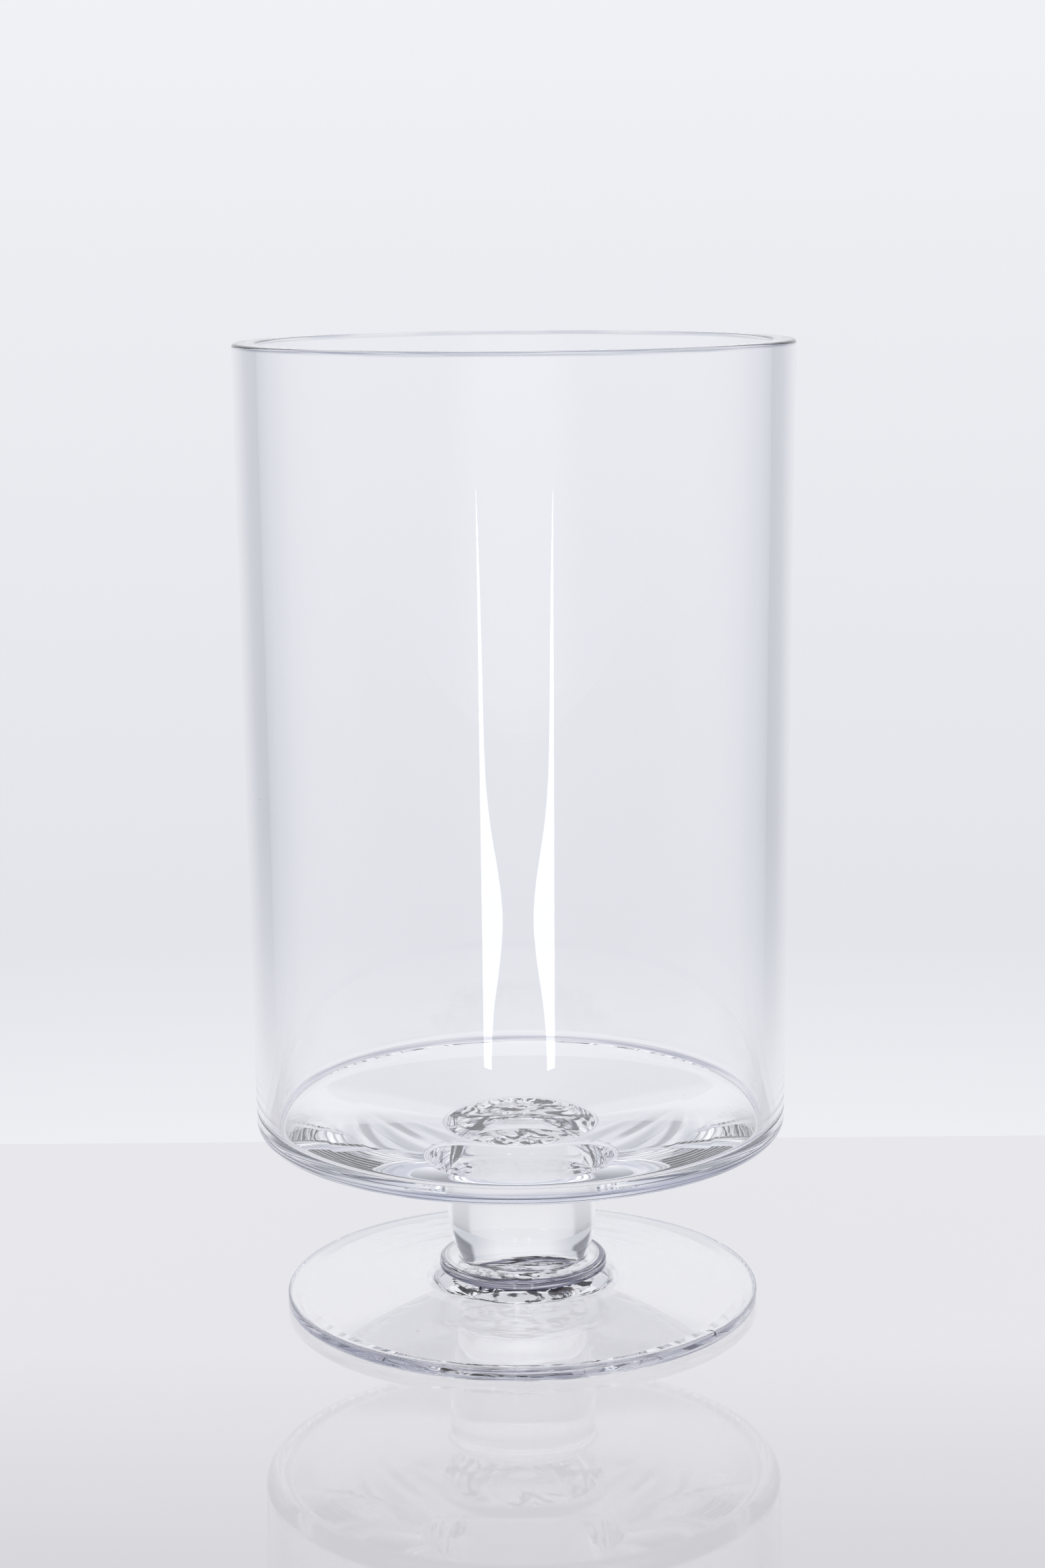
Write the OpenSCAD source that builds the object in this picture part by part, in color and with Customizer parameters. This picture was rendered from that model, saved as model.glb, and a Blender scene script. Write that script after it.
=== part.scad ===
// Footed cylinder vase in clear glass.
// An open straight-walled bowl with a conical underside stands on a short solid stem, a bead collar
// and a wide disc foot that is hollowed below.
// All four pieces are bodies of revolution about Z. Millimetres, +Z up,
// origin at the centre of the underside of the foot.

/* [Bowl] */
// Height of the rim above the table
rim_height = 267; // [200:1:320]
// Outer diameter at the rim
rim_diameter = 150; // [110:1:180]
// Outer diameter at the bottom of the bowl
base_diameter = 147; // [105:1:178]
// Wall thickness at the rim
rim_wall = 6.4; // [3:0.1:9]
// Wall thickness just above the floor
base_wall = 6.0; // [3:0.1:9]
// Height of the floor inside the bowl
floor_height = 55.3; // [35:0.1:90]
// Height of the underside of the bowl at its outer corner
underside_height = 49.8; // [32:0.2:82]
// Height at which the conical underside runs into the stem
cone_height = 42.3; // [26:0.1:80]
// Radius of the rounded outer corner at the bottom
corner_radius = 4.5; // [1:0.5:12]
// Radius of the inner corner between wall and floor
inner_corner_radius = 2.0; // [1:0.5:8]
// Rounding of both edges of the rim
rim_round = 1.0; // [0.3:0.1:2]

/* [Stem] */
// Largest diameter of the stem
stem_diameter = 41.4; // [25:0.2:60]
// Radius of the fillet where the stem runs into the bowl
stem_fillet = 2.0; // [0.5:0.5:6]
// Height of the joint between stem and bowl
joint_height = 36; // [26:0.5:60]
// Radius of the curve that draws the stem in toward the collar
stem_curve_radius = 32; // [15:1:80]
// Height at which that curve begins
stem_curve_start = 25; // [15:1:40]

/* [Collar] */
// Outer diameter of the bead
collar_diameter = 47; // [30:0.5:70]
// Radius of the bead's round section
bead_radius = 2.7; // [1:0.1:5]
// Height of the collar's seat on the foot
collar_seat_height = 9.6; // [6:0.2:16]
// Height of the joint between collar and stem
neck_height = 12.4; // [8:0.2:20]

/* [Foot] */
// Diameter of the foot
foot_diameter = 132; // [90:1:170]
// Thickness of the foot at its edge
foot_edge = 3.8; // [2:0.1:8]
// Rounding of the foot's upper edge
foot_edge_round = 1.2; // [0.3:0.1:1.8]
// Diameter of the raised hub under the collar
hub_diameter = 60; // [48:1:80]
// Height of the foot's top face at the edge of the hub
hub_height = 8.0; // [4:0.2:12]
// Inner diameter of the flat ring that touches the table
contact_diameter = 120; // [60:1:126]
// Depth of the hollow under the foot
hollow_depth = 4.6; // [0.5:0.1:6]
// Diameter of the flat middle of that hollow
hollow_diameter = 52; // [20:1:58]

/* [Hidden] */
$fn = 128;
rim_r = rim_diameter / 2;
base_r = base_diameter / 2;
rim_in = rim_r - rim_wall;
base_in = base_r - base_wall;
stem_r = stem_diameter / 2;
neck_r = stem_r - stem_curve_radius
       + sqrt(pow(stem_curve_radius, 2) - pow(stem_curve_start - neck_height, 2));
collar_r = collar_diameter / 2;
foot_r = foot_diameter / 2;
cone_angle = atan2(underside_height - cone_height, base_r - corner_radius - stem_r);
fillet_z = cone_height + stem_fillet * (tan(cone_angle) - 1 / cos(cone_angle));

// Outer half section of the bowl: drafted wall, rounded bottom corner, softened rim.
module bowl_outline() {
    r = corner_radius;
    polygon([
        [0, underside_height], [base_r - r, underside_height], [base_r - r, underside_height + r],
        [base_r, underside_height + r], [rim_r, rim_height - rim_round],
        [rim_r - rim_round, rim_height - rim_round], [rim_r - rim_round, rim_height],
        [rim_in + rim_round, rim_height], [rim_in + rim_round, rim_height - rim_round],
        [rim_in, rim_height - rim_round], [0, rim_height - rim_round]
    ]);
    translate([base_r - r, underside_height + r]) circle(r);
    for (x = [rim_r - rim_round, rim_in + rim_round])
        translate([x, rim_height - rim_round]) circle(rim_round);
}

// Conical underside of the bowl and the boss below it, with a fillet between the two.
module bowl_boss() {
    f = stem_fillet;
    polygon([
        [0, joint_height], [stem_r, joint_height], [stem_r, cone_height],
        [base_r - corner_radius, underside_height], [base_r - corner_radius, underside_height + 1],
        [0, underside_height + 1]
    ]);
    difference() {
        polygon([
            [stem_r, fillet_z], [stem_r + f - f * sin(cone_angle), fillet_z + f * cos(cone_angle)],
            [stem_r, cone_height]
        ]);
        translate([stem_r + f, fillet_z]) circle(f);
    }
}

// Half section of the space inside the bowl, with its round floor corner.
module bowl_space() {
    r = inner_corner_radius;
    polygon([
        [0, floor_height], [base_in - r, floor_height], [base_in - r, floor_height + r],
        [base_in, floor_height + r], [rim_in, rim_height - rim_round], [0, rim_height - rim_round]
    ]);
    translate([base_in - r, floor_height + r]) circle(r);
}

module bowl() {
    color([0.86, 0.90, 0.93, 0.35])
    rotate_extrude()
    difference() {
        union() {
            bowl_outline();
            bowl_boss();
        }
        bowl_space();
    }
}

module stem() {
    color([0.80, 0.86, 0.90, 0.45])
    rotate_extrude() {
        // straight upper length
        translate([0, stem_curve_start]) square([stem_r, joint_height - stem_curve_start]);
        // drawn-in lower length
        intersection() {
            translate([0, neck_height]) square([stem_r, stem_curve_start - neck_height]);
            translate([stem_r - stem_curve_radius, stem_curve_start]) circle(stem_curve_radius);
        }
    }
}

module collar() {
    color([0.74, 0.82, 0.88, 0.5])
    rotate_extrude()
    intersection() {
        translate([0, collar_seat_height]) square([collar_r, neck_height - collar_seat_height]);
        union() {
            translate([0, collar_seat_height])
                square([collar_r - bead_radius, neck_height - collar_seat_height]);
            translate([collar_r - bead_radius, neck_height - bead_radius]) circle(bead_radius);
        }
    }
}

module foot() {
    e = foot_edge_round;
    color([0.86, 0.90, 0.93, 0.35])
    rotate_extrude() {
        polygon([
            [0, hollow_depth], [hollow_diameter / 2, hollow_depth], [contact_diameter / 2, 0],
            [foot_r - 1, 0], [foot_r, 1],
            [foot_r, foot_edge - e], [foot_r - e, foot_edge - e], [foot_r - e, foot_edge],
            [hub_diameter / 2, hub_height], [collar_r, collar_seat_height], [0, collar_seat_height]
        ]);
        translate([foot_r - e, foot_edge - e]) circle(e);
    }
}

bowl();
stem();
collar();
foot();
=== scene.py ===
"""Clear glass cylinder vase on a short solid stem, a bead collar and a disc foot, on a glossy white table.

Four glass pieces stand for the four CAD nodes: bowl, stem, collar and foot. Each is a closed lathe of its
own. Where two pieces are fused, both end on the same disc; that disc wears a clear joint material, so light
passes from one piece to the next as it does in glass that was joined hot. Profiles are (radius, height) in
millimetres.
"""

import math

import bmesh
import bpy
from mathutils import Matrix, Vector


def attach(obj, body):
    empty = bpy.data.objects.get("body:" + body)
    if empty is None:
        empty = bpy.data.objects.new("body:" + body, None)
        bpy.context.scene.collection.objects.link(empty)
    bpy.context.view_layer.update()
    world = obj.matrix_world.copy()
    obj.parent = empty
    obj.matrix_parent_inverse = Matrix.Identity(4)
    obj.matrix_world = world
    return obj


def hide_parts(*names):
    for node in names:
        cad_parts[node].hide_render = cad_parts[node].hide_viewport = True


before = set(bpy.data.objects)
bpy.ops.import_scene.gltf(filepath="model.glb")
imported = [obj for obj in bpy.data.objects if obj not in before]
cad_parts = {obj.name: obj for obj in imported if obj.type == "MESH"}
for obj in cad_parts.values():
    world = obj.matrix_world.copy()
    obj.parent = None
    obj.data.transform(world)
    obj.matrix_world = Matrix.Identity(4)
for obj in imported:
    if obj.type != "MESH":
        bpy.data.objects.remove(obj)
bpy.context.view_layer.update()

MM = 0.001

# ---------------------------------------------------------------- sizes, in millimetres

RIM_HEIGHT = 267.0
RIM_RADIUS = 75.0
RIM_WALL = 6.4
RIM_ROUND = 1.0
BASE_RADIUS = 73.4
BASE_WALL = 6.0
UNDERSIDE = 49.8
CORNER = 4.5
# the outer corner's arc starts this many degrees past straight down, where the conical underside meets it
CORNER_START = 10.0
CONE_RADIUS = 68.2
# the underside of the bowl is a little hollow: it bends at this point, on an arc of this radius
CONE_BEND = (48.0, 46.5)
CONE_BEND_ROUND = 60
FLOOR = 55.3
FLOOR_CORNER = 2.0
STEM_RADIUS = 20.7
STEM_TOP = 42.3
STEM_TOP_ROUND = 1.4
JOINT_HEIGHT = 36.0
STEM_CURVE = 32.0
STEM_CURVE_START = 25.0
# the stem's neck reaches the collar in a small fillet of this height
NECK_FILLET = 1.5
NECK_RADIUS = 18.3
NECK_HEIGHT = 12.4
COLLAR_RADIUS = 23.5
COLLAR_ROUND = 2.3
SEAT_HEIGHT = 9.6
HUB_RADIUS = 30.0
HUB_HEIGHT = 8.0
FOOT_RADIUS = 66.0
FOOT_EDGE = 3.8
FOOT_ROUND = 1.2
# the foot's upper face starts this far in from its edge
FOOT_SHOULDER = 1.6
CONTACT_RADIUS = 60.0
HOLLOW = 4.6
HOLLOW_RADIUS = 26.0
# a hair of space under the foot, so that its flat ring and the table are not one plane
LIFT = 0.02

SEGMENTS = 288

# the floor of the bowl dips toward the front by this slope; the dip grows over the first range of heights,
# inside the glass, and dies out over the second, at the foot of the wall
FLOOR_TILT = 0.026
TILT_START = (51.5, 53.0)
TILT_END = (60.0, 68.0)
# the collar and its neighbours stand this far aside at the given height, and less above and below it
LEAN = 0.35
LEAN_HEIGHT = 12.0
LEAN_SPREAD = 9.0

# ---------------------------------------------------------------- profile helpers


def arc(cx, cz, r, a0, a1, n=10):
    """Points on a circle from angle a0 to a1 in degrees."""
    turns = [math.radians(a0 + (a1 - a0) * i / n) for i in range(n + 1)]
    return [(cx + r * math.cos(turn), cz + r * math.sin(turn)) for turn in turns]


def rounded(points, radii, n=10):
    """A polyline whose corners are replaced by arcs of the given radii."""
    out = [points[0]]
    for i in range(1, len(points) - 1):
        a, b, c = Vector(points[i - 1]), Vector(points[i]), Vector(points[i + 1])
        if radii[i] <= 0:
            out.append(points[i])
            continue
        u, v = (a - b).normalized(), (c - b).normalized()
        half = u.angle(v) / 2
        # an arc takes up no more than half of the straight run on either side
        t = min(radii[i] / math.tan(half), (a - b).length * 0.49, (c - b).length * 0.49)
        r = t * math.tan(half)
        centre = b + (u + v).normalized() * (r / math.sin(half))
        p, q = b + u * t, b + v * t
        a0 = math.atan2(p.y - centre.y, p.x - centre.x)
        turn = math.atan2(q.y - centre.y, q.x - centre.x) - a0
        turn = (turn + math.pi) % (2 * math.pi) - math.pi
        for k in range(n + 1):
            angle = a0 + turn * k / n
            out.append((centre.x + r * math.cos(angle), centre.y + r * math.sin(angle)))
    out.append(points[-1])
    return out


def loops(profile, edge=0.05, step=2.5, shortest=0.8):
    """Adds rings along straight runs, with one close to each end, so that smooth shading leaves them flat.

    Runs shorter than shortest are left as they are, and points that lie on each other become one."""
    out = [profile[0]]
    for a, b in zip(profile, profile[1:]):
        length = math.hypot(b[0] - a[0], b[1] - a[1])
        if length < 1e-4:
            continue
        if length > shortest:
            n = max(1, int(length / step))
            for t in [edge / length] + [k / n for k in range(1, n)] + [1 - edge / length]:
                out.append((a[0] + (b[0] - a[0]) * t, a[1] + (b[1] - a[1]) * t))
        out.append(b)
    return out


# ---------------------------------------------------------------- hand-made irregularity


def share_of(value, start, end):
    """How far value is on its way from start to end, kept between 0 and 1."""
    return min(1, max(0, (value - start) / (end - start)))


def warped(r, angle, z):
    """Where a point of the ideal lathe goes on the real, slightly uneven vase.

    It depends on the place alone, so the two faces of a joint move the same way."""
    x, y = r * math.cos(angle), r * math.sin(angle)
    if r < BASE_RADIUS - BASE_WALL + 0.6:
        z += FLOOR_TILT * y * share_of(z, *TILT_START) * (1 - share_of(z, *TILT_END))
    lean = LEAN * math.exp(-(((z - LEAN_HEIGHT) / LEAN_SPREAD) ** 2))
    return Vector(((x + lean) * MM, y * MM, z * MM))


# ---------------------------------------------------------------- meshes

# the material slots of every piece
GLASS_SLOT, JOINT_SLOT, FILM_SLOT = 0, 1, 2


def add_object(name, bm):
    """Puts a finished bmesh in the scene as a new object."""
    mesh = bpy.data.meshes.new(name)
    bm.to_mesh(mesh)
    bm.free()
    obj = bpy.data.objects.new(name, mesh)
    bpy.context.scene.collection.objects.link(obj)
    return obj


def lathe(name, surface, lower, upper, seeds):
    """A closed body of revolution. surface is its glass skin from bottom to top, lower and upper say whether
    it ends there in a joint disc, and seeds are the bubbles inside it."""
    skin = loops(surface)
    profile, kinds = [], []
    if lower:
        profile.append((0.0, skin[0][1]))
        kinds.append(JOINT_SLOT)
    profile += skin
    kinds += [GLASS_SLOT] * (len(skin) - 1)
    if upper:
        profile.append((0.0, skin[-1][1]))
        kinds.append(JOINT_SLOT)
    bm = bmesh.new()
    rings = []
    for r, z in profile:
        if r < 1e-6:
            rings.append([bm.verts.new(warped(0, 0, z))])
        else:
            rings.append([bm.verts.new(warped(r, 2 * math.pi * k / SEGMENTS, z)) for k in range(SEGMENTS)])
    for a, b, kind in zip(rings, rings[1:], kinds):
        for k in range(SEGMENTS):
            m = (k + 1) % SEGMENTS
            if len(a) == 1:
                f = bm.faces.new((a[0], b[m], b[k]))
            elif len(b) == 1:
                f = bm.faces.new((a[k], a[m], b[0]))
            else:
                f = bm.faces.new((a[k], a[m], b[m], b[k]))
            f.material_index = kind
            f.smooth = kind == GLASS_SLOT
    bmesh.ops.recalc_face_normals(bm, faces=bm.faces)
    for e in bm.edges:
        if len({f.material_index for f in e.link_faces}) > 1:
            e.smooth = False
    for place, size in seeds:
        add_seed(bm, Vector(place) * MM, size * MM)
    return add_object(name, bm)


def add_seed(bm, centre, size):
    """A small stretched air bubble inside the glass: a closed shell facing inward."""
    made = bmesh.ops.create_icosphere(bm, subdivisions=2, radius=size)
    for v in made["verts"]:
        v.co = Vector((v.co.x * 1.5, v.co.y * 0.9, v.co.z * 0.7)) + centre
    faces = {f for v in made["verts"] for f in v.link_faces}
    for f in faces:
        f.smooth = True
        f.normal_flip()


# ---------------------------------------------------------------- profiles


def stem_radius(z):
    """The stem's barrel: straight above, drawn in toward the collar below."""
    if z >= STEM_CURVE_START:
        return STEM_RADIUS
    return STEM_RADIUS - STEM_CURVE + math.sqrt(STEM_CURVE**2 - (STEM_CURVE_START - z) ** 2)


def foot_skin():
    """From the middle of the hollow out over the flat ring, round the edge and in to the collar's seat."""
    # each corner and the radius that rounds it
    corners = [
        ((0, HOLLOW), 0),
        ((HOLLOW_RADIUS, HOLLOW), 20),
        ((CONTACT_RADIUS, LIFT), 2),
        ((FOOT_RADIUS - 1, LIFT), 0.5),
        ((FOOT_RADIUS, 0.8), 0.5),
        ((FOOT_RADIUS, FOOT_EDGE), FOOT_ROUND),
        ((FOOT_RADIUS - FOOT_SHOULDER, FOOT_EDGE + 0.02), 1.0),
        ((HUB_RADIUS, HUB_HEIGHT), 12),
        ((COLLAR_RADIUS, SEAT_HEIGHT), 0),
    ]
    points, radii = zip(*corners)
    return rounded(points, radii)


def collar_skin():
    """One round bead from its seat on the foot up to the stem's neck."""
    return rounded(
        [(COLLAR_RADIUS, SEAT_HEIGHT), (COLLAR_RADIUS - 0.1, NECK_HEIGHT - 0.4), (NECK_RADIUS, NECK_HEIGHT)],
        [0, COLLAR_ROUND, 0],
    )


def stem_skin():
    """The fillet at the neck, then the drawn-in length, then straight up to the joint with the bowl."""
    steps = 18
    start = NECK_HEIGHT + NECK_FILLET
    low = stem_radius(start)
    pts = [(NECK_RADIUS, NECK_HEIGHT), ((NECK_RADIUS + low) / 2 - 0.1, NECK_HEIGHT + 0.7)]
    for k in range(steps + 1):
        z = start + (STEM_CURVE_START - start) * k / steps
        pts.append((stem_radius(z), z))
    pts.append((STEM_RADIUS, JOINT_HEIGHT))
    return pts


def bowl_skin():
    """Up the boss, out below, up the wall, over the rim, down inside and in along the floor."""
    boss = [(STEM_RADIUS, JOINT_HEIGHT + 0.5), (STEM_RADIUS, STEM_TOP)]
    cone = [CONE_BEND, (CONE_RADIUS, UNDERSIDE + 0.1)]
    inner = BASE_RADIUS - BASE_WALL
    rim_start = RIM_HEIGHT - RIM_ROUND
    pts = [(STEM_RADIUS, JOINT_HEIGHT)]
    pts += rounded(boss + cone, [0, STEM_TOP_ROUND, CONE_BEND_ROUND, 0], 14)
    pts += arc(BASE_RADIUS - CORNER, UNDERSIDE + CORNER, CORNER, -90 + CORNER_START, 0, 14)
    pts += [(RIM_RADIUS - 0.02, rim_start - 0.5)]
    pts += arc(RIM_RADIUS - RIM_ROUND, rim_start, RIM_ROUND, 0, 90, 8)
    pts += arc(RIM_RADIUS - RIM_WALL + RIM_ROUND, rim_start, RIM_ROUND, 90, 180, 8)
    pts += [(inner, FLOOR + FLOOR_CORNER + 0.5)]
    pts += arc(inner - FLOOR_CORNER, FLOOR + FLOOR_CORNER, FLOOR_CORNER, 0, -90, 12)
    pts += [(0, FLOOR)]
    return pts


# ---------------------------------------------------------------- material helpers


def nodes_of(name):
    """A new node material: itself, its tree and its shader."""
    mat = bpy.data.materials.new(name)
    mat.use_nodes = True
    return mat, mat.node_tree, mat.node_tree.nodes["Principled BSDF"]


def add(tree, kind, **inputs):
    """A new node with the given input values; an underscore in a name stands for a space."""
    node = tree.nodes.new(kind)
    for key, value in inputs.items():
        node.inputs[key.replace("_", " ")].default_value = value
    return node


def fed(tree, kind, socket, source, **inputs):
    """The same, with one more input fed from another node's output."""
    node = add(tree, kind, **inputs)
    tree.links.new(source, node.inputs[socket])
    return node


def noise_node(tree, spot, **inputs):
    """A noise over the given places."""
    return fed(tree, "ShaderNodeTexNoise", "Vector", spot, **inputs).outputs["Fac"]


def math_node(tree, operation, *values):
    """The result of one Math node; a value is a number or another node's output."""
    node = tree.nodes.new("ShaderNodeMath")
    node.operation = operation
    for k, value in enumerate(values):
        if isinstance(value, (int, float)):
            node.inputs[k].default_value = value
        else:
            tree.links.new(value, node.inputs[k])
    return node.outputs["Value"]


def length_node(tree, a, b):
    """The length of the diagonal over two sides at a right angle."""
    squares = [math_node(tree, "POWER", side, 2) for side in (a, b)]
    return math_node(tree, "SQRT", math_node(tree, "ADD", *squares))


def scale_node(tree, source, start, end, low=0.0, high=1.0):
    """source taken from the range start..end to low..high, and held at both ends."""
    limits = {"From_Min": start, "From_Max": end, "To_Min": low, "To_Max": high}
    return fed(tree, "ShaderNodeMapRange", "Value", source, **limits).outputs["Result"]


def mix_node(tree, share, a, b):
    """A colour between a and b; each is a colour or another node's output."""
    node = tree.nodes.new("ShaderNodeMix")
    node.data_type = "RGBA"
    tree.links.new(share, node.inputs["Factor"])
    for socket, colour in (("A", a), ("B", b)):
        if isinstance(colour, tuple):
            node.inputs[socket].default_value = (*colour, 1)
        else:
            tree.links.new(colour, node.inputs[socket])
    return node.outputs["Result"]


# ---------------------------------------------------------------- glass

CLEAR = (0.991, 0.993, 1.0)
GLASS_IOR = 1.5

# how often the streaks in the painted edge shade change, per metre
STREAK_ALONG = 28.0
STREAK_ACROSS = 1300.0
# the streaks' noise between which the painted edge shade grows from weak to full, and how weak it is
STREAK_NOISE = (0.40, 0.58)
STREAK_WEAK = 0.25
# faint wipe marks: how many to a metre, and the noise between which they grow
SMUDGE_SCALE = 38.0
SMUDGE_NOISE = (0.5, 0.8)


def painted_shade_streaks(tree, split, radius):
    """How strong the painted edge shade is: streaks that run round the piece, fine across and long along."""
    across = math_node(tree, "SUBTRACT", split.outputs["Z"], radius)
    place = tree.nodes.new("ShaderNodeCombineXYZ")
    tree.links.new(math_node(tree, "MULTIPLY", split.outputs["X"], STREAK_ALONG), place.inputs["X"])
    tree.links.new(math_node(tree, "MULTIPLY", split.outputs["Y"], STREAK_ALONG), place.inputs["Y"])
    tree.links.new(math_node(tree, "MULTIPLY", across, STREAK_ACROSS), place.inputs["Z"])
    streak = noise_node(tree, place.outputs["Vector"], Scale=1.0, Detail=2.0)
    return scale_node(tree, streak, *STREAK_NOISE, STREAK_WEAK, 1.0)


def painted_edge_shade(tree, spot, edges):
    """The glass colour, darkened by painted shade near each of the given edges, for the dark surroundings
    that the rounded edges show.
    """
    split = fed(tree, "ShaderNodeSeparateXYZ", "Vector", spot)
    radius = length_node(tree, split.outputs["X"], split.outputs["Y"])
    depth = painted_shade_streaks(tree, split, radius)
    result = CLEAR
    # each edge adds painted shade: a darker colour that stands in for the dark surroundings seen there
    for edge_radius, edge_height, full, gone, colour in edges:
        aside = math_node(tree, "SUBTRACT", radius, edge_radius * MM)
        above = math_node(tree, "SUBTRACT", split.outputs["Z"], edge_height * MM)
        share = scale_node(tree, length_node(tree, aside, above), full * MM, gone * MM, 1.0, 0.0)
        result = mix_node(tree, math_node(tree, "MULTIPLY", share, depth), result, colour)
    return result


def glass(name, ripple, ripple_scale, smudge, edges=()):
    """Clear glass. ripple is the depth in millimetres of its soft unevenness, ripple_scale how often that
    changes, and smudge the roughness of its faint wipe marks. edges are where painted shade darkens its
    colour."""
    mat, tree, shader = nodes_of(name)
    shader.inputs["Base Color"].default_value = (*CLEAR, 1)
    shader.inputs["Transmission Weight"].default_value = 1.0
    shader.inputs["IOR"].default_value = GLASS_IOR
    spot = tree.nodes.new("ShaderNodeTexCoord").outputs["Object"]
    # the base colour carries painted shade near the given edges
    if edges:
        tree.links.new(painted_edge_shade(tree, spot, edges), shader.inputs["Base Color"])
    marks = noise_node(tree, spot, Scale=SMUDGE_SCALE, Detail=4.0, Roughness=0.6)
    tree.links.new(scale_node(tree, marks, *SMUDGE_NOISE, 0.0, smudge), shader.inputs["Roughness"])
    waves = noise_node(tree, spot, Scale=ripple_scale, Detail=2.0, Roughness=0.4)
    bump = fed(tree, "ShaderNodeBump", "Height", waves, Strength=1.0, Distance=ripple * MM)
    tree.links.new(bump.outputs["Normal"], shader.inputs["Normal"])
    return mat


def joint_material():
    """The inside of a fused joint: nothing to see."""
    mat, tree, shader = nodes_of("fused_joint")
    shader.inputs["Alpha"].default_value = 0.0
    return mat


# the film's streaks: how fine they are, the noise between which they grow from none to full, and how much
# they then cover
FILM_SCALE = 150.0
FILM_NOISE = (0.49, 0.55)
FILM_COVER = 0.92
# its colours, along a second and finer noise: dark blue, grey violet and a little brown
FILM_PATCH_SCALE = 240.0
FILM_COLOURS = [(0.42, (0.02, 0.02, 0.18)), (0.53, (0.14, 0.12, 0.26)), (0.64, (0.42, 0.20, 0.09))]
FILM_ROUGHNESS = 0.35


def film_material():
    """The thin film where the stem was stuck to the collar: dark streaks, with clear glass between them."""
    mat, tree, shader = nodes_of("joint_film")
    spot = tree.nodes.new("ShaderNodeTexCoord").outputs["Object"]
    streaks = noise_node(tree, spot, Scale=FILM_SCALE, Detail=5.0, Roughness=0.65, Distortion=1.4)
    tree.links.new(scale_node(tree, streaks, *FILM_NOISE, 0.0, FILM_COVER), shader.inputs["Alpha"])
    patches = noise_node(tree, spot, Scale=FILM_PATCH_SCALE, Detail=3.0, Roughness=0.5)
    tint = fed(tree, "ShaderNodeValToRGB", "Fac", patches)
    stops = tint.color_ramp.elements
    for k, (place, colour) in enumerate(FILM_COLOURS):
        stop = stops[k] if k < len(stops) else stops.new(place)
        stop.position = place
        stop.color = (*colour, 1)
    tree.links.new(tint.outputs["Color"], shader.inputs["Base Color"])
    shader.inputs["Roughness"].default_value = FILM_ROUGHNESS
    return mat


# ---------------------------------------------------------------- the vase

# where painted shade darkens the glass near its edges, for the dark surroundings seen in them: (radius,
# height, full within, gone beyond, colour)
BOWL_PAINTED_SHADE = [
    (RIM_RADIUS, RIM_HEIGHT, 0.7, 1.5, (0.26, 0.28, 0.36)),
    (RIM_RADIUS - RIM_WALL, RIM_HEIGHT, 0.5, 1.2, (0.55, 0.56, 0.64)),
    (BASE_RADIUS, UNDERSIDE + 1, 2.4, 4.2, (0.40, 0.42, 0.55)),
]
FOOT_PAINTED_SHADE = [(FOOT_RADIUS, FOOT_EDGE / 2, 1.4, 2.4, (0.34, 0.35, 0.45))]
COLLAR_PAINTED_SHADE = [(COLLAR_RADIUS, NECK_HEIGHT - 1.2, 1.8, 3.6, (0.07, 0.07, 0.12))]

# air bubbles left in the glass: (place, size)
SEEDS = {
    "bowl": [
        ((-38, -31, 53.0), 0.3),
        ((24, -47, 52.8), 0.25),
        ((47, 12, 53.2), 0.25),
        ((-66, -25.6, 148), 0.25),
    ],
    "foot": [((50.6, -38.8, 2.4), 0.7), ((-28, -41, 3.6), 0.3)],
}

# each piece's skin, whether it ends in a joint below and above, and its glass
PIECES = {
    "bowl": (bowl_skin(), True, False, glass("bowl_glass", 0.06, 22.0, 0.02, BOWL_PAINTED_SHADE)),
    "stem": (stem_skin(), True, True, glass("stem_glass", 0.10, 60.0, 0.02)),
    "collar": (collar_skin(), True, True, glass("collar_glass", 0.20, 75.0, 0.03, COLLAR_PAINTED_SHADE)),
    "foot": (foot_skin(), False, True, glass("foot_glass", 0.08, 40.0, 0.02, FOOT_PAINTED_SHADE)),
}
fused = joint_material()
film = film_material()
pieces = []
for name, (skin, lower, upper, material) in PIECES.items():
    piece = lathe("vase_" + name, skin, lower, upper, SEEDS.get(name, ()))
    for slot_material in (material, fused, film):
        piece.data.materials.append(slot_material)
    for face in piece.data.polygons:
        if face.material_index == JOINT_SLOT and abs(face.center.z - NECK_HEIGHT * MM) < 0.1 * MM:
            face.material_index = FILM_SLOT
    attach(piece, "root")
    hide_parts(name)
    pieces.append(piece)

# ---------------------------------------------------------------- table

TABLE_SIDE = 1500
TABLE_FRONT = -1000
TABLE_BACK = 144
TABLE_THICK = 30
TABLE_BEVEL = 1.5
# the lacquer's own dark grey, clouded between two levels; most of its white is painted light, an emission
# that stands in for the light on the table and fills in the vase's shadow
TABLE_GREYS = (0.03, 0.06)
TABLE_PAINTED_LIGHT = 0.775
TABLE_PAINTED_LIGHT_COLOUR = (0.96, 0.955, 1.0)
TABLE_ROUGHNESS = 0.03
TABLE_IOR = 1.5
# painted fall-off of light: the table's emission grows dimmer toward the front, from one distance to the
# other, down to a share
TABLE_PAINTED_FALLOFF = (-40.0, -190.0, 0.80)


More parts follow.
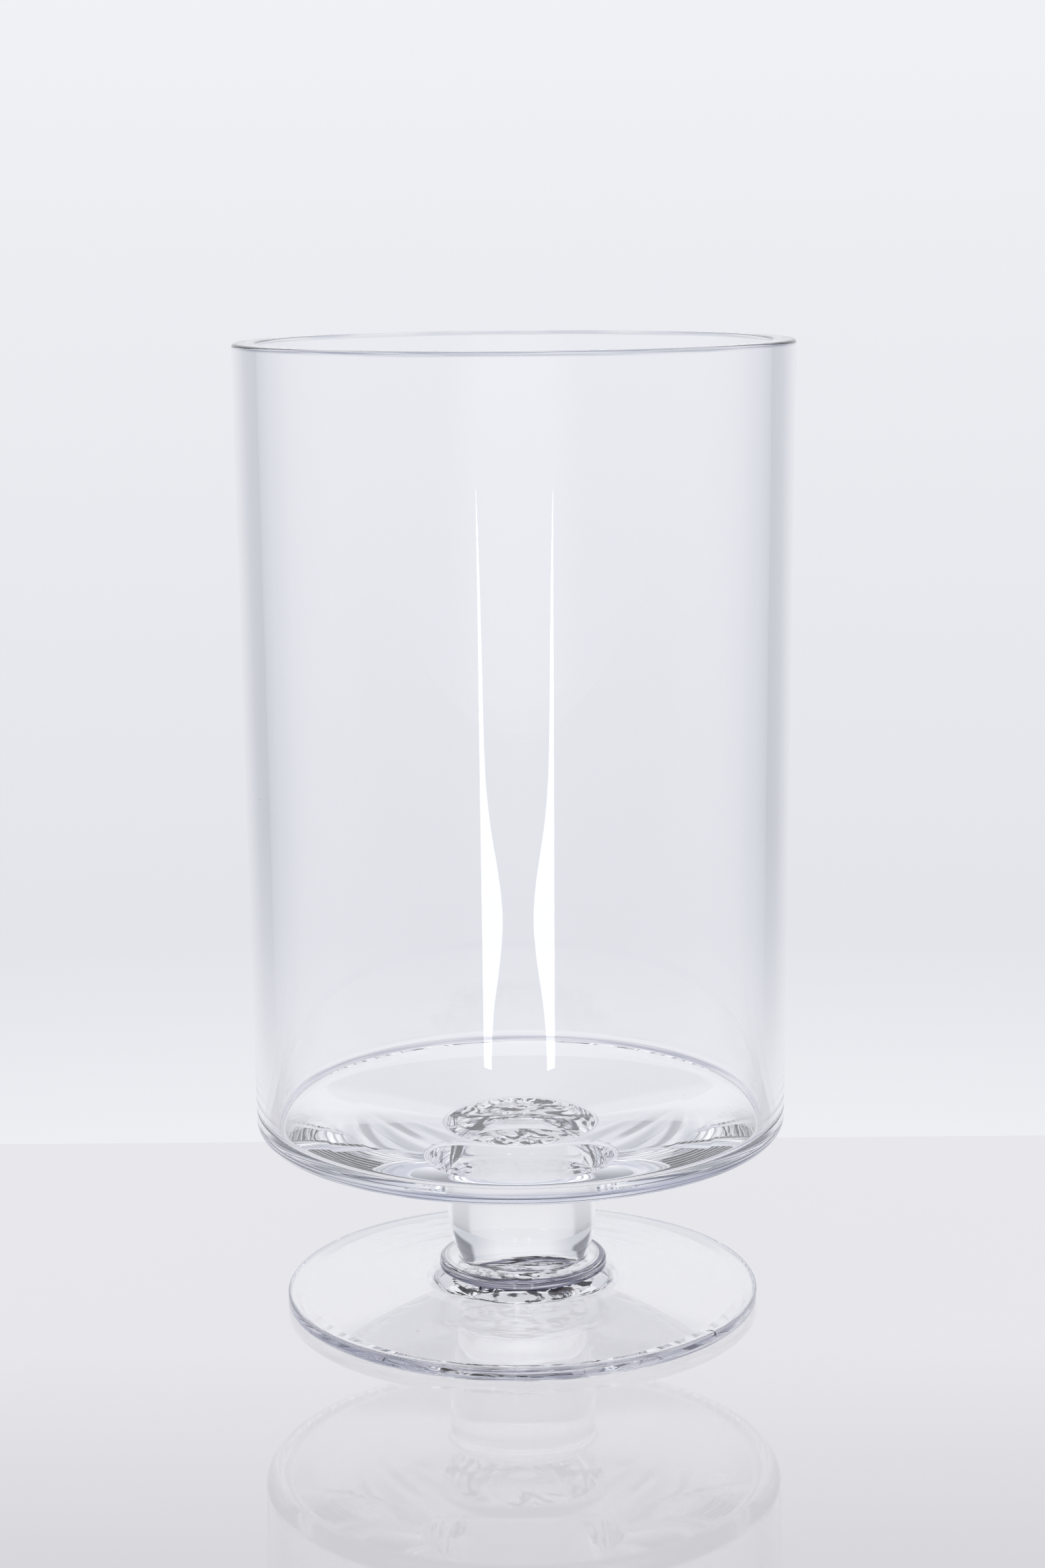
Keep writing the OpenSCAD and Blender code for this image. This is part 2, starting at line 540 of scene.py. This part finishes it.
def table_material():
    """White lacquer whose white is mostly painted light, an emission that fills in the vase's shadow and
    dims toward the front. It gives way to reflections at grazing angles, as a painted white would.
    """
    mat, tree, shader = nodes_of("table_lacquer_painted_light")
    spot = tree.nodes.new("ShaderNodeTexCoord").outputs["Object"]
    cloud = noise_node(tree, spot, Scale=3.0, Detail=3.0)
    ramp = fed(tree, "ShaderNodeValToRGB", "Fac", cloud)
    for stop, grey in zip(ramp.color_ramp.elements, TABLE_GREYS):
        stop.color = (grey, grey, grey, 1)
    tree.links.new(ramp.outputs["Color"], shader.inputs["Base Color"])
    shader.inputs["Roughness"].default_value = TABLE_ROUGHNESS
    shader.inputs["IOR"].default_value = TABLE_IOR
    # painted light: the table's emission colour, standing in for the light that falls on it
    shader.inputs["Emission Color"].default_value = (*TABLE_PAINTED_LIGHT_COLOUR, 1)
    gloss = add(tree, "ShaderNodeFresnel", IOR=TABLE_IOR).outputs["Fac"]
    painted_light = math_node(tree, "MULTIPLY", math_node(tree, "SUBTRACT", 1.0, gloss), TABLE_PAINTED_LIGHT)
    split = fed(tree, "ShaderNodeSeparateXYZ", "Vector", spot)
    far, near, dim = TABLE_PAINTED_FALLOFF
    # painted fall-off: the emission dims toward the front
    painted_falloff = scale_node(tree, split.outputs["Y"], far * MM, near * MM, 1.0, dim)
    tree.links.new(math_node(tree, "MULTIPLY", painted_light, painted_falloff), shader.inputs["Emission Strength"])
    return mat


def table():
    """A glossy white slab whose back edge stands a hand's width behind the vase."""
    corners = [
        (-TABLE_SIDE, TABLE_FRONT),
        (TABLE_SIDE, TABLE_FRONT),
        (TABLE_SIDE, TABLE_BACK),
        (-TABLE_SIDE, TABLE_BACK),
    ]
    bm = bmesh.new()
    verts = [bm.verts.new(Vector((x, y, z)) * MM) for z in (-TABLE_THICK, 0) for x, y in corners]
    bm.faces.new(verts[4:8])
    bm.faces.new(verts[3::-1])
    for k in range(4):
        m = (k + 1) % 4
        bm.faces.new((verts[k], verts[m], verts[4 + m], verts[4 + k]))
    edges = [e for e in bm.edges if all(v.co.z > -1e-6 for v in e.verts)]
    bmesh.ops.bevel(bm, geom=edges, offset=TABLE_BEVEL * MM, segments=3, affect="EDGES")
    obj = add_object("table", bm)
    obj.data.materials.append(table_material())


# ---------------------------------------------------------------- room

# brightness of the walls by azimuth from straight behind the vase, the same on both sides: (degrees, level)
WALLS = [
    (0, 1.0), (14, 1.0), (21, 0.90), (30, 0.78), (44, 0.74),
    (60, 0.84), (80, 1.0), (150, 1.0), (165, 1.25), (180, 1.25),
]
# brightness by height, where height is the sine of the elevation
HEIGHTS = [
    (-0.5, 0.88), (-0.30, 0.88), (-0.235, 0.80), (0.0, 0.87), (0.08, 0.90), (0.3, 0.94),
    (0.47, 0.97), (0.54, 0.34), (0.74, 0.30), (0.88, 1.3), (1.0, 1.5),
]
# the walls' own shading starts above this height: the start and the end of the change
WALL_FOOT = (-0.32, -0.20)
# the two dark doorways: azimuth where each starts and ends, height where they start and end, and their level
DOOR_SIDES = (31.0, 37.0, 56.0, 66.0)
DOOR_HEIGHTS = (-0.03, 0.02, 0.30, 0.38)
DOOR_LEVEL = 0.34
LIGHT_COLOUR = (0.985, 0.992, 1.02)
SHADE_COLOUR = (0.86, 0.91, 1.06)


def ramp_node(tree, source, stops):
    """A grey ramp over source, through the given (place, level) stops."""
    low, high = stops[0][0], stops[-1][0]
    ramp = fed(tree, "ShaderNodeValToRGB", "Fac", scale_node(tree, source, low, high))
    elements = ramp.color_ramp.elements
    while len(elements) > 1:
        elements.remove(elements[-1])
    for k, (place, level) in enumerate(stops):
        t = (place - low) / (high - low)
        stop = elements[0] if k == 0 else elements.new(t)
        stop.position = t
        stop.color = (level, level, level, 1)
    return ramp.outputs["Color"]


def gate_node(tree, source, edges):
    """A soft gate: 0 outside edges[0]..edges[3], 1 between edges[1] and edges[2]."""
    sides = []
    for start, end in ((edges[0], edges[1]), (edges[3], edges[2])):
        side = fed(tree, "ShaderNodeMapRange", "Value", source, From_Min=start, From_Max=end)
        side.interpolation_type = "SMOOTHSTEP"
        sides.append(side.outputs["Result"])
    return math_node(tree, "MULTIPLY", *sides)


def surroundings():
    """The pale room around the vase: its brightness follows azimuth and height, with two dark doorways."""
    world = bpy.data.worlds.new("studio")
    bpy.context.scene.world = world
    world.use_nodes = True
    tree = world.node_tree
    place = tree.nodes.new("ShaderNodeTexCoord")
    split = fed(tree, "ShaderNodeSeparateXYZ", "Vector", place.outputs["Generated"])
    rise = split.outputs["Z"]
    turn = math_node(tree, "ARCTAN2", split.outputs["X"], split.outputs["Y"])
    degrees = math_node(tree, "MULTIPLY", math_node(tree, "ABSOLUTE", turn), 180 / math.pi)
    above = scale_node(tree, rise, *WALL_FOOT)
    shading = math_node(tree, "SUBTRACT", ramp_node(tree, degrees, WALLS), 1.0)
    wall = math_node(tree, "MULTIPLY_ADD", shading, above, 1.0)
    inside = gate_node(tree, degrees, DOOR_SIDES)
    gates = math_node(tree, "MULTIPLY", inside, gate_node(tree, rise, DOOR_HEIGHTS))
    door = math_node(tree, "ADD", math_node(tree, "MULTIPLY", gates, DOOR_LEVEL - 1.0), 1.0)
    lit = math_node(tree, "MULTIPLY", wall, door)
    level = math_node(tree, "MULTIPLY", lit, ramp_node(tree, rise, HEIGHTS))
    back = tree.nodes["Background"]
    tree.links.new(mix_node(tree, level, SHADE_COLOUR, LIGHT_COLOUR), back.inputs["Color"])
    tree.links.new(level, back.inputs["Strength"])


# ---------------------------------------------------------------- strip lights

STRIP_DISTANCE = 343.0
STRIP_FOOT = 2.0
STRIP_TOP = 207.0
# the outer edge's distance from the middle, at the foot and at the top
STRIP_EDGE = (80.0, 83.0)
# the width at the foot, and the power by which it tapers to nothing at the top
STRIP_WIDTH = 17.0
STRIP_TAPER = 0.6
# a wider stretch: how much wider, at which height, and how far it spreads
STRIP_BULGE = (33.0, 58.0, 30.0)
STRIP_SHIFT = -1.2
STRIP_LEVEL = 6.0
STRIP_STEPS = 40


def strip_material():
    """A white light that lets what is behind it through as well."""
    mat = bpy.data.materials.new("strip_light")
    mat.use_nodes = True
    tree = mat.node_tree
    tree.nodes.clear()
    light = add(tree, "ShaderNodeEmission", Color=(1.0, 1.0, 1.0, 1), Strength=STRIP_LEVEL)
    both = tree.nodes.new("ShaderNodeAddShader")
    tree.links.new(light.outputs["Emission"], both.inputs[0])
    tree.links.new(tree.nodes.new("ShaderNodeBsdfTransparent").outputs["BSDF"], both.inputs[1])
    out = tree.nodes.new("ShaderNodeOutputMaterial")
    tree.links.new(both.outputs["Shader"], out.inputs["Surface"])
    return mat


def strip_mesh(side):
    """One strip, standing upright: side is -1 for the left one and 1 for the right one."""
    bulge, middle, spread = STRIP_BULGE
    bm = bmesh.new()
    rows = []
    for k in range(STRIP_STEPS + 1):
        t = k / STRIP_STEPS
        z = STRIP_FOOT + (STRIP_TOP - STRIP_FOOT) * t
        outer = STRIP_EDGE[0] + (STRIP_EDGE[1] - STRIP_EDGE[0]) * t
        wide = STRIP_WIDTH * (1 - t) ** STRIP_TAPER + bulge * math.exp(-(((z - middle) / spread) ** 2))
        places = [(side * x + STRIP_SHIFT, -STRIP_DISTANCE, z) for x in (outer - wide, outer)]
        rows.append([bm.verts.new(Vector(place) * MM) for place in places])
    for a, b in zip(rows, rows[1:]):
        bm.faces.new((a[0], a[1], b[1], b[0]))
    return bm


def strip_lights(shown_in):
    """Two tall lights in front of the vase, seen only as its reflections: the streaks down the wall."""
    bright = strip_material()
    receivers = bpy.data.collections.new("strip_light_receivers")
    for obj in shown_in:
        receivers.objects.link(obj)
    for side in (-1, 1):
        obj = add_object("strip_light", strip_mesh(side))
        obj.data.materials.append(bright)
        obj.light_linking.receiver_collection = receivers
        obj.visible_camera = False
        obj.visible_diffuse = False
        obj.visible_transmission = False
        obj.visible_shadow = False


# ---------------------------------------------------------------- camera

# a little above the rim and looking down, with the frame turned by a hair
CAMERA_PLACE = (1.3143, -793.62, 296.87)
CAMERA_PITCH = math.radians(10.72)
CAMERA_ROLL = -0.0085
CAMERA_LENS = 67.745
CAMERA_SENSOR = 36.0


def camera():
    """The view from the front. Pitch and roll are in radians."""
    pitch, roll = CAMERA_PITCH, CAMERA_ROLL
    data = bpy.data.cameras.new("front")
    data.sensor_width = CAMERA_SENSOR
    data.lens = CAMERA_LENS
    data.clip_start = 0.01
    cam = bpy.data.objects.new("front", data)
    bpy.context.scene.collection.objects.link(cam)
    ahead = Vector((0, math.cos(pitch), -math.sin(pitch)))
    level, rise = Vector((1, 0, 0)), Vector((0, math.sin(pitch), math.cos(pitch)))
    right = level * math.cos(roll) + rise * math.sin(roll)
    up = rise * math.cos(roll) - level * math.sin(roll)
    place = Matrix((right, up, -ahead)).transposed().to_4x4()
    place.translation = Vector(CAMERA_PLACE) * MM
    cam.matrix_world = place
    bpy.context.scene.camera = cam


table()
surroundings()
strip_lights(pieces)
camera()

# light crosses many faces inside the thick floor before it comes out again
BOUNCES = 64
scene = bpy.context.scene
scene.view_settings.view_transform = "Standard"
scene.cycles.max_bounces = BOUNCES
scene.cycles.transmission_bounces = BOUNCES
scene.cycles.glossy_bounces = BOUNCES
scene.cycles.transparent_max_bounces = 32
